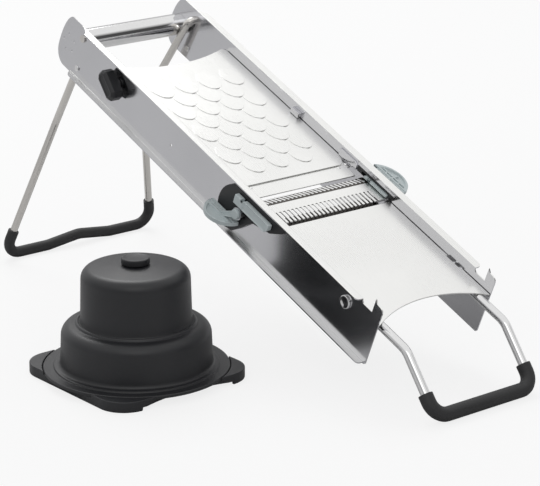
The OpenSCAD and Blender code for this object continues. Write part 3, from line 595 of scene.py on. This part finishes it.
def slicingBlade():  # serrated: a row of leaning ground teeth along the edge
    blade = copyOf("horizontal_blade")
    placeBy(blade, deckInverse)
    front = min(vert.co.x for vert in blade.data.vertices) / mm + bladeSet["inset"]
    top = max(vert.co.z for vert in blade.data.vertices) / mm
    softEdges(blade, bladeSet["backEdge"], 1, 25)
    half = bladeSet["long"] / 2
    side = bladeSet["wide"] / 2
    tooth = boxAt((-half, half), (-side, side), (-bladeSet["root"], bladeSet["lift"]))
    pick(tooth, "VERT", lambda p: p.x < 0 and p.z > 0)
    bpy.ops.transform.translate(value=(0, 0, -bladeSet["lift"] * mm))
    toObject()
    softEdges(tooth, bladeSet["edge"], 2, 30)
    tooth.matrix_basis = Matrix.Rotation(radians(bladeSet["lean"]), 4, "Z")
    applyPlace(tooth)
    parts = [blade]
    for k in range(bladeSet["teeth"]):
        one = twin(tooth)
        across = (k - (bladeSet["teeth"] - 1) / 2) * bladeSet["pitch"]
        one.location = Vector((front + half, across, top)) * mm
        applyPlace(one)
        parts.append(one)
    bpy.data.objects.remove(tooth)
    obj = joined(parts)
    teeth = [poly.index for poly in obj.data.polygons if poly.center.z > (top + 0.02) * mm]
    placeBy(obj, deckMatrix)
    settle(obj, "slicing_blade", mats["darkSteelAndPaintedShade"], "horizontal_blade")
    secondFinishAndPaintedSheen(obj, mats["groundBlade"], teeth)


slicingBlade()
print("blade ground")

# lock bars and levers
lockSet = {"s": (237.9, 279.9), "w": (32.4, 40.0), "v": (62.2, 66.25), "notch": (245.0, 248.2),
           "notchDepth": 2.4, "chamfer": 3.0, "grip": 0.9, "gripRim": 1.1, "edge": 0.4,
           "tongueS": (249.9, 276.9), "tongueW": (37.5, 39.5), "tongueV": (53.0, 62.6),
           "neck": (253.5, 257.5), "neckIn": 5.0, "tongueEdge": 0.25}


def lockBar(side, node, name):
    bar = boxAt(lockSet["s"], lockSet["v"], lockSet["w"])
    for place in (*lockSet["notch"], lockSet["s"][1] - lockSet["chamfer"]):
        editAll(bar)
        bpy.ops.mesh.bisect(plane_co=(place * mm, 0, 0), plane_no=(1, 0, 0))
        toObject()
    low, high = lockSet["notch"]
    pick(bar, "FACE", lambda c, n: n.z > 0.9 and low < c.x < high)  # the step behind the head
    bpy.ops.mesh.extrude_region_move(TRANSFORM_OT_translate={"value": (0, 0, -lockSet["notchDepth"] * mm)})
    toObject()
    pick(bar, "VERT", lambda p: p.x > lockSet["s"][1] - 0.1 and p.z < lockSet["w"][0] + 0.1)
    bpy.ops.transform.translate(value=(0, 0, lockSet["chamfer"] * mm))
    toObject()
    pick(bar, "FACE", lambda c, n: n.y > 0.9 and high < c.x < lockSet["s"][1] - lockSet["chamfer"])
    bpy.ops.mesh.inset(thickness=lockSet["gripRim"] * mm, depth=0)
    bpy.ops.transform.translate(value=(0, -lockSet["grip"] * mm, 0))  # finger groove along the outer face
    toObject()
    squareNormals(bar)
    softEdges(bar, lockSet["edge"], 3, 25, 40)
    tongue = boxAt(lockSet["tongueS"], lockSet["tongueV"], lockSet["tongueW"])
    for place in lockSet["neck"]:
        editAll(tongue)
        bpy.ops.mesh.bisect(plane_co=(place * mm, 0, 0), plane_no=(1, 0, 0))
        toObject()
    low, high = lockSet["neck"]
    pick(tongue, "FACE", lambda c, n: n.y < -0.9 and low < c.x < high)
    bpy.ops.mesh.extrude_region_move(TRANSFORM_OT_translate={"value": (0, lockSet["neckIn"] * mm, 0)})
    toObject()
    squareNormals(tongue)
    softEdges(tongue, lockSet["tongueEdge"], 2)
    obj = joined([bar, tongue])
    if side < 0:
        nearSide(obj)
    placeBy(obj, deckMatrix)
    smoothByAngle(obj, 40)
    return settle(obj, name, mats["latchGrey"], node)


lockBar(-1, "lock_bar_left", "near_lock_bar")
lockBar(1, "lock_bar_right", "far_lock_bar")

leverSet = {"hub": leverSpot, "hubRadius": 3.9, "armRadius": 2.6, "hubV": (66.9, 69.5),
            "armV": (66.9, 69.4), "ribHalf": 0.6, "ribDeep": 1.6, "ribTop": 0.2, "ribEdge": 0.25,
            "longRib": (3.2, 4.4), "longShare": 0.34, "ribShort": 3.5, "ribBow": 0.06, "border": 0.5,
            "borderSlope": 0.3, "taper": 0.6, "armEdge": 0.3, "hubEdge": 0.5, "grooveRim": 0.4, "floor": 0.9,
            "padIn": 62.8, "wide": 17.4, "thick": 3.0, "grooves": ((1.0, 2.9), (3.7, 5.6)),
            "groove": 0.8, "rim": 0.8, "dish": 1.5, "edge": 0.22}
nearPad = {"spot": (230.1, 17.1), "long": 33.0, "ribs": ()}
farPad = {"spot": (262.9, 41.8), "long": 40.0, "ribs": (-7.5, 0, 7.5), "notch": (-14.1, 4.4)}


def padCurve(across):  # how far the cross ribs stop short of the pad's outer edge
    return leverSet["ribShort"] + leverSet["ribBow"] * across ** 2


def fingerPad(pad):  # half an oval, its straight side along y = 0
    pickNothing()
    bpy.ops.mesh.primitive_cylinder_add(vertices=96, radius=mm, depth=leverSet["thick"] * mm)
    flat = bpy.context.object
    flat.scale = (pad["long"] / 2, leverSet["wide"], 1)
    applyPlace(flat)
    editAll(flat)
    bpy.ops.mesh.bisect(plane_co=(0, 0, 0), plane_no=(0, 1, 0), clear_inner=True, use_fill=True)
    toObject()
    squareNormals(flat)
    if "notch" in pad:  # inner corner cut back clear of the lock bar
        tool = boxAt((-30, pad["notch"][0]), (-1, pad["notch"][1]), (-5, 5))
        notch = flat.modifiers.new("notch", "BOOLEAN")
        notch.object = tool
        notch.solver = "EXACT"
        applyModifiers(flat)
        bpy.data.objects.remove(tool)
    for place in (edge for groove in leverSet["grooves"] for edge in groove):
        editAll(flat)
        bpy.ops.mesh.bisect(plane_co=(0, place * mm, 0), plane_no=(0, 1, 0))
        toObject()
    for near, far in leverSet["grooves"]:  # two grooves leave two ridges along the straight side
        pick(flat, "FACE", lambda c, n: n.z > 0.9 and near < c.y < far)
        bpy.ops.mesh.inset(thickness=leverSet["grooveRim"] * mm, depth=-leverSet["groove"] * mm)
        toObject()
    inner = leverSet["grooves"][-1][1]
    pick(flat, "FACE", lambda c, n: n.z > 0.9 and c.y > inner)
    middle = Vector((0, (inner + leverSet["wide"]) / 2, leverSet["thick"] / 2)) * mm
    for share, drop in ((leverSet["rim"], 0), (leverSet["floor"], leverSet["dish"])):
        bpy.ops.mesh.extrude_region_move(TRANSFORM_OT_translate={"value": (0, 0, -drop * mm)})
        bpy.ops.transform.resize(value=(share, share, 1), center_override=middle)
    toObject()
    softEdges(flat, leverSet["edge"], 3, 25, 40)
    parts = [flat]
    top = leverSet["thick"] / 2
    high = (top - leverSet["ribDeep"], top - leverSet["ribTop"])
    half = leverSet["ribHalf"]
    places = [((across - half, across + half), (inner + 1, leverSet["wide"] - padCurve(across)))
              for across in pad["ribs"]]
    if pad["ribs"]:
        reach = pad["long"] * leverSet["longShare"]
        places.append(((-reach, reach), tuple(inner + edge for edge in leverSet["longRib"])))
    for s, v in places:
        rib = boxAt(s, v, high)
        softEdges(rib, leverSet["ribEdge"], 2)
        parts.append(rib)
    return joined(parts)


def lever(side, node, name, pad):
    paddle = pad["spot"]
    hubS, hubW = leverSet["hub"]
    pickNothing()
    bpy.ops.mesh.primitive_cylinder_add(
        vertices=48, radius=leverSet["hubRadius"] * mm,
        depth=(leverSet["hubV"][1] - leverSet["hubV"][0]) * mm,
        location=(hubS * mm, sum(leverSet["hubV"]) / 2 * mm, hubW * mm), rotation=(pi / 2, 0, 0))
    hub = bpy.context.object
    applyPlace(hub)
    reach = Vector((paddle[0] - hubS, 0, paddle[1] - hubW))
    thick = leverSet["armV"][1] - leverSet["armV"][0]
    bpy.ops.mesh.primitive_cylinder_add(
        vertices=48, radius=leverSet["armRadius"] * mm, depth=thick * mm,
        location=(hubS * mm, sum(leverSet["armV"]) / 2 * mm, hubW * mm), rotation=(pi / 2, 0, 0))
    arm = bpy.context.object
    applyPlace(arm)
    pick(arm, "VERT", lambda p: (p - Vector((hubS, p.y, hubW))).dot(reach) > 0.01)
    bpy.ops.transform.translate(value=reach * mm)  # half of the disc moves out to the paddle
    bpy.ops.transform.resize(value=(leverSet["taper"], 1, leverSet["taper"]),
                             center_override=Vector((paddle[0], sum(leverSet["armV"]) / 2, paddle[1])) * mm)
    toObject()
    pick(arm, "FACE", lambda c, n: n.y > 0.9)  # raised borders along the arm
    bpy.ops.mesh.inset(thickness=leverSet["border"] * mm, depth=0)
    bpy.ops.mesh.inset(thickness=leverSet["borderSlope"] * mm, depth=-leverSet["border"] * mm)
    toObject()
    softEdges(arm, leverSet["armEdge"], 3, 30, 40)
    softEdges(hub, leverSet["hubEdge"], 3)
    plate = fingerPad(pad)
    plate.location = Vector((paddle[0], leverSet["padIn"], paddle[1])) * mm
    applyPlace(plate)
    obj = joined([hub, arm, plate])
    if side < 0:
        nearSide(obj)
    placeBy(obj, deckMatrix)
    smoothByAngle(obj, 40)
    return settle(obj, name, mats["latchGrey"], node)


lever(-1, "lever_left", "near_comb_lever", nearPad)
lever(1, "lever_right", "far_comb_lever", farPad)
print("latches and levers made")

# pusher
hatSet = {
    "outer": [(51.4, 1.5), (53.0, 1.5), (53.6, 2.1), (53.6, 5.5), (68.9, 5.5), (69.35, 5.75), (69.45, 6.3),
              (69.45, 7.2), (69.35, 7.75), (68.8, 8.1), (67.6, 8.1), (67.0, 7.95), (62.4, 7.95), (61.9, 8.1),
              (61.6, 8.5), (61.4, 9.1), (60.9, 9.4), (59.3, 9.4), (58.3, 9.6), (57.5, 10.2), (57.0, 11.2),
              (56.7, 12.6)],
    "lowerShoulder": (55.9, 40.8), "upperShoulder": (40.6, 84.0), "shoulder": 8.5,
    "foot": [(45.9, 40.9), (45.2, 41.2), (44.85, 41.8), (44.6, 42.5), (44.1, 42.9), (43.5, 43.0),
             (42.9, 42.75), (42.5, 42.45), (42.1, 42.5), (41.75, 43.0), (41.5, 44.0), (41.4, 45.4)],
    "crown": [(24.0, 84.9), (14.0, 85.8), (12.6, 85.9), (4.2, 85.9), (4.05, 85.7)],
    "inner": [(4.05, 81.6), (30.7, 81.8), (36.0, 79.3), (38.2, 73.3), (39.2, 38.6), (46.0, 38.6),
              (51.6, 35.6), (53.8, 30.1), (51.4, 10.8)],
    "turns": 144,
}
buttonSet = {"profile": [(4.02, 86.4), (9.6, 86.4), (10.3, 86.6), (10.6, 87.1), (10.6, 90.1), (10.45, 90.8),
                         (10.0, 91.2), (9.4, 91.3), (8.6, 91.2), (7.9, 90.9), (4.0, 90.75), (0, 90.7),
                         (0, 89.8), (4.02, 89.8)], "turns": 72}


def turned(profile, turns, name):  # extrudes a point along the profile, then spins it
    pickNothing()
    bpy.ops.mesh.primitive_plane_add(size=mm)
    obj = bpy.context.object
    editAll(obj)
    bpy.context.tool_settings.mesh_select_mode = (True, False, False)
    bpy.ops.mesh.merge(type="CENTER")
    here = Vector((profile[0][0], 0, profile[0][1])) * mm
    bpy.ops.transform.translate(value=here)
    for r, z in profile[1:] + profile[:1]:
        there = Vector((r, 0, z)) * mm
        bpy.ops.mesh.extrude_vertices_move(TRANSFORM_OT_translate={"value": there - here})
        here = there
    bpy.ops.mesh.select_all(action="SELECT")
    bpy.ops.mesh.remove_doubles(threshold=0.001 * mm)
    bpy.ops.mesh.spin(steps=turns, angle=2 * pi, center=(0, 0, 0), axis=(0, 0, 1))
    toObject()
    squareNormals(obj)
    editAll(obj)
    bpy.ops.mesh.dissolve_degenerate(threshold=0.0005 * mm)
    toObject()
    smoothByAngle(obj, 32)
    return obj


def shoulderArc(r, top, radius, steps=9):
    return [(r - radius * (1 - cos(pi / 2 * k / steps)), top - radius * (1 - sin(pi / 2 * k / steps)))
            for k in range(steps + 1)]


def pusher():
    profile = hatSet["outer"] + shoulderArc(*hatSet["lowerShoulder"], hatSet["shoulder"])
    profile += hatSet["foot"] + shoulderArc(*hatSet["upperShoulder"], hatSet["shoulder"])
    profile += hatSet["crown"] + hatSet["inner"]
    hat = turned(profile, hatSet["turns"], "hat")
    placeBy(hat, pusherMatrix)
    settle(hat, "pusher_hat_shell", mats["sootPlastic"], "pusher_hat")
    button = turned(buttonSet["profile"], buttonSet["turns"], "button")
    placeBy(button, pusherMatrix)
    settle(button, "pusher_button", mats["sootPlastic"], "plunger_knob")
    softCopy("pusher_carriage", "pusher_base", 0.7, mats["sootPlastic"], 4, 40)


pusher()
print("pusher turned")

capSet = {"spot": frontLeg["pivot"], "from": sideSheet["outer"], "turns": 48,
          "profile": [(3.56, 0.3), (5.2, 0.3), (5.2, 1.2), (5.0, 1.6), (4.5, 1.88), (4.0, 1.85), (3.2, 1.6),
                      (2.2, 1.42), (1.0, 1.36), (0, 1.35), (0, 1.32), (3.56, 1.32)]}


def legCaps():  # one dished cap outside each web
    near = turned(capSet["profile"], capSet["turns"], "cap")
    far = twin(near)
    for cap, side in ((near, -1), (far, 1)):
        cap.matrix_basis = Matrix.Rotation(-side * pi / 2, 4, "X")
        applyPlace(cap)
        cap.location = Vector((capSet["spot"][0], side * capSet["from"], capSet["spot"][1])) * mm
        applyPlace(cap)
        placeBy(cap, deckMatrix)
    settle(joined([near, far]), "front_leg_caps", mats["polishedRod"], "front_pivot_caps")


legCaps()
print("leg caps turned")

# studio
studio = {"floor": (0.66, 0.66, 0.665), "floorGlow": 0.76, "glowLevel": 1.06, "worldLevel": 0.60,
          "whiteLevel": 1.0,
          "bands": ((0.02, 0.9), (0.12, 0.35), (0.2, 0.75), (0.3, 0.3), (0.36, 0.12), (0.4, 0.06),
                    (0.46, 0.25), (0.54, 0.8), (0.58, 0.02), (0.655, 0.02), (0.7, 0.9), (0.8, 0.9),
                    (0.9, 0.4), (0.98, 0.9))}


def studioShell():
    pickNothing()
    bpy.ops.mesh.primitive_plane_add(size=12, location=(0, 0, 0))
    floor = bpy.context.object
    floor.name = "floor"
    mat = bpy.data.materials.new("floorPaper")
    mat.use_nodes = True
    bsdf = mat.node_tree.nodes["Principled BSDF"]
    bsdf.inputs["Base Color"].default_value = (*studio["floor"], 1)
    bsdf.inputs["Roughness"].default_value = 0.85
    nodeTree = mat.node_tree
    path = nodeTree.nodes.new("ShaderNodeLightPath")
    glow = nodeTree.nodes.new("ShaderNodeEmission")
    glow.inputs["Strength"].default_value = studio["glowLevel"]
    share = nodeTree.nodes.new("ShaderNodeMath")
    share.operation = "MULTIPLY"
    share.inputs[1].default_value = studio["floorGlow"]
    paper = nodeTree.nodes.new("ShaderNodeMixShader")
    nodeTree.links.new(path.outputs["Is Camera Ray"], share.inputs[0])
    nodeTree.links.new(share.outputs["Value"], paper.inputs["Fac"])
    nodeTree.links.new(bsdf.outputs["BSDF"], paper.inputs[1])
    nodeTree.links.new(glow.outputs["Emission"], paper.inputs[2])
    nodeTree.links.new(paper.outputs["Shader"], nodeTree.nodes["Material Output"].inputs["Surface"])
    dress(floor, mat)
    world = bpy.data.worlds.new("studio")
    bpy.context.scene.world = world
    world.use_nodes = True
    tree = world.node_tree
    back = tree.nodes["Background"]
    path = tree.nodes.new("ShaderNodeLightPath")
    seen = tree.nodes.new("ShaderNodeMath")
    seen.operation = "MAXIMUM"
    tree.links.new(path.outputs["Is Camera Ray"], seen.inputs[0])
    tree.links.new(path.outputs["Is Glossy Ray"], seen.inputs[1])
    level = tree.nodes.new("ShaderNodeMapRange")
    level.inputs["To Min"].default_value = studio["worldLevel"]
    level.inputs["To Max"].default_value = studio["whiteLevel"]
    tree.links.new(seen.outputs["Value"], level.inputs["Value"])
    tree.links.new(level.outputs["Result"], back.inputs["Strength"])
    coord = tree.nodes.new("ShaderNodeTexCoord")  # soft boxes with darker gaps, seen only in gloss
    split = tree.nodes.new("ShaderNodeSeparateXYZ")
    tree.links.new(coord.outputs["Generated"], split.inputs["Vector"])
    around = tree.nodes.new("ShaderNodeMath")
    around.operation = "ARCTAN2"
    tree.links.new(split.outputs["Y"], around.inputs[0])
    tree.links.new(split.outputs["X"], around.inputs[1])
    share = tree.nodes.new("ShaderNodeMapRange")
    share.inputs["From Min"].default_value = -pi
    share.inputs["From Max"].default_value = pi
    tree.links.new(around.outputs["Value"], share.inputs["Value"])
    bands = tree.nodes.new("ShaderNodeValToRGB")
    ramp = bands.color_ramp
    ramp.interpolation = "B_SPLINE"
    for place, level in studio["bands"]:
        stop = ramp.elements.new(place)
        stop.color = (level, level, level * 1.01, 1)
    ramp.elements.remove(ramp.elements[0])
    ramp.elements.remove(ramp.elements[-1])
    tree.links.new(share.outputs["Result"], bands.inputs["Fac"])
    height = tree.nodes.new("ShaderNodeMapRange")
    height.inputs["From Min"].default_value = 0.35
    height.inputs["From Max"].default_value = 0.65
    tree.links.new(split.outputs["Z"], height.inputs["Value"])
    dome = tree.nodes.new("ShaderNodeMix")
    dome.data_type = "RGBA"
    dome.inputs["B"].default_value = (0.96, 0.96, 0.96, 1)
    tree.links.new(height.outputs["Result"], dome.inputs["Factor"])
    tree.links.new(bands.outputs["Color"], dome.inputs["A"])
    shine = tree.nodes.new("ShaderNodeMix")
    shine.data_type = "RGBA"
    shine.inputs["A"].default_value = (1, 1, 1, 1)
    tree.links.new(path.outputs["Is Glossy Ray"], shine.inputs["Factor"])
    tree.links.new(dome.outputs["Result"], shine.inputs["B"])
    tree.links.new(shine.outputs["Result"], back.inputs["Color"])


lamps = {
    "key": {"place": (-1.25, 0.55, 1.7), "size": 1.1, "power": 16},
    "fill": {"place": (1.5, -1.2, 1.3), "size": 1.4, "power": 5},
}


def softBox(name, lamp):
    data = bpy.data.lights.new(name, "AREA")
    data.shape = "SQUARE"
    data.size = lamp["size"]
    data.energy = lamp["power"]
    obj = bpy.data.objects.new(name, data)
    bpy.context.scene.collection.objects.link(obj)
    spot = Vector(lamp["place"])
    obj.location = spot
    obj.rotation_euler = (-spot).to_track_quat("-Z", "Y").to_euler()


studioShell()
for name, lamp in lamps.items():
    softBox(name, lamp)
bpy.context.scene.view_settings.view_transform = "Standard"
print("studio lit")
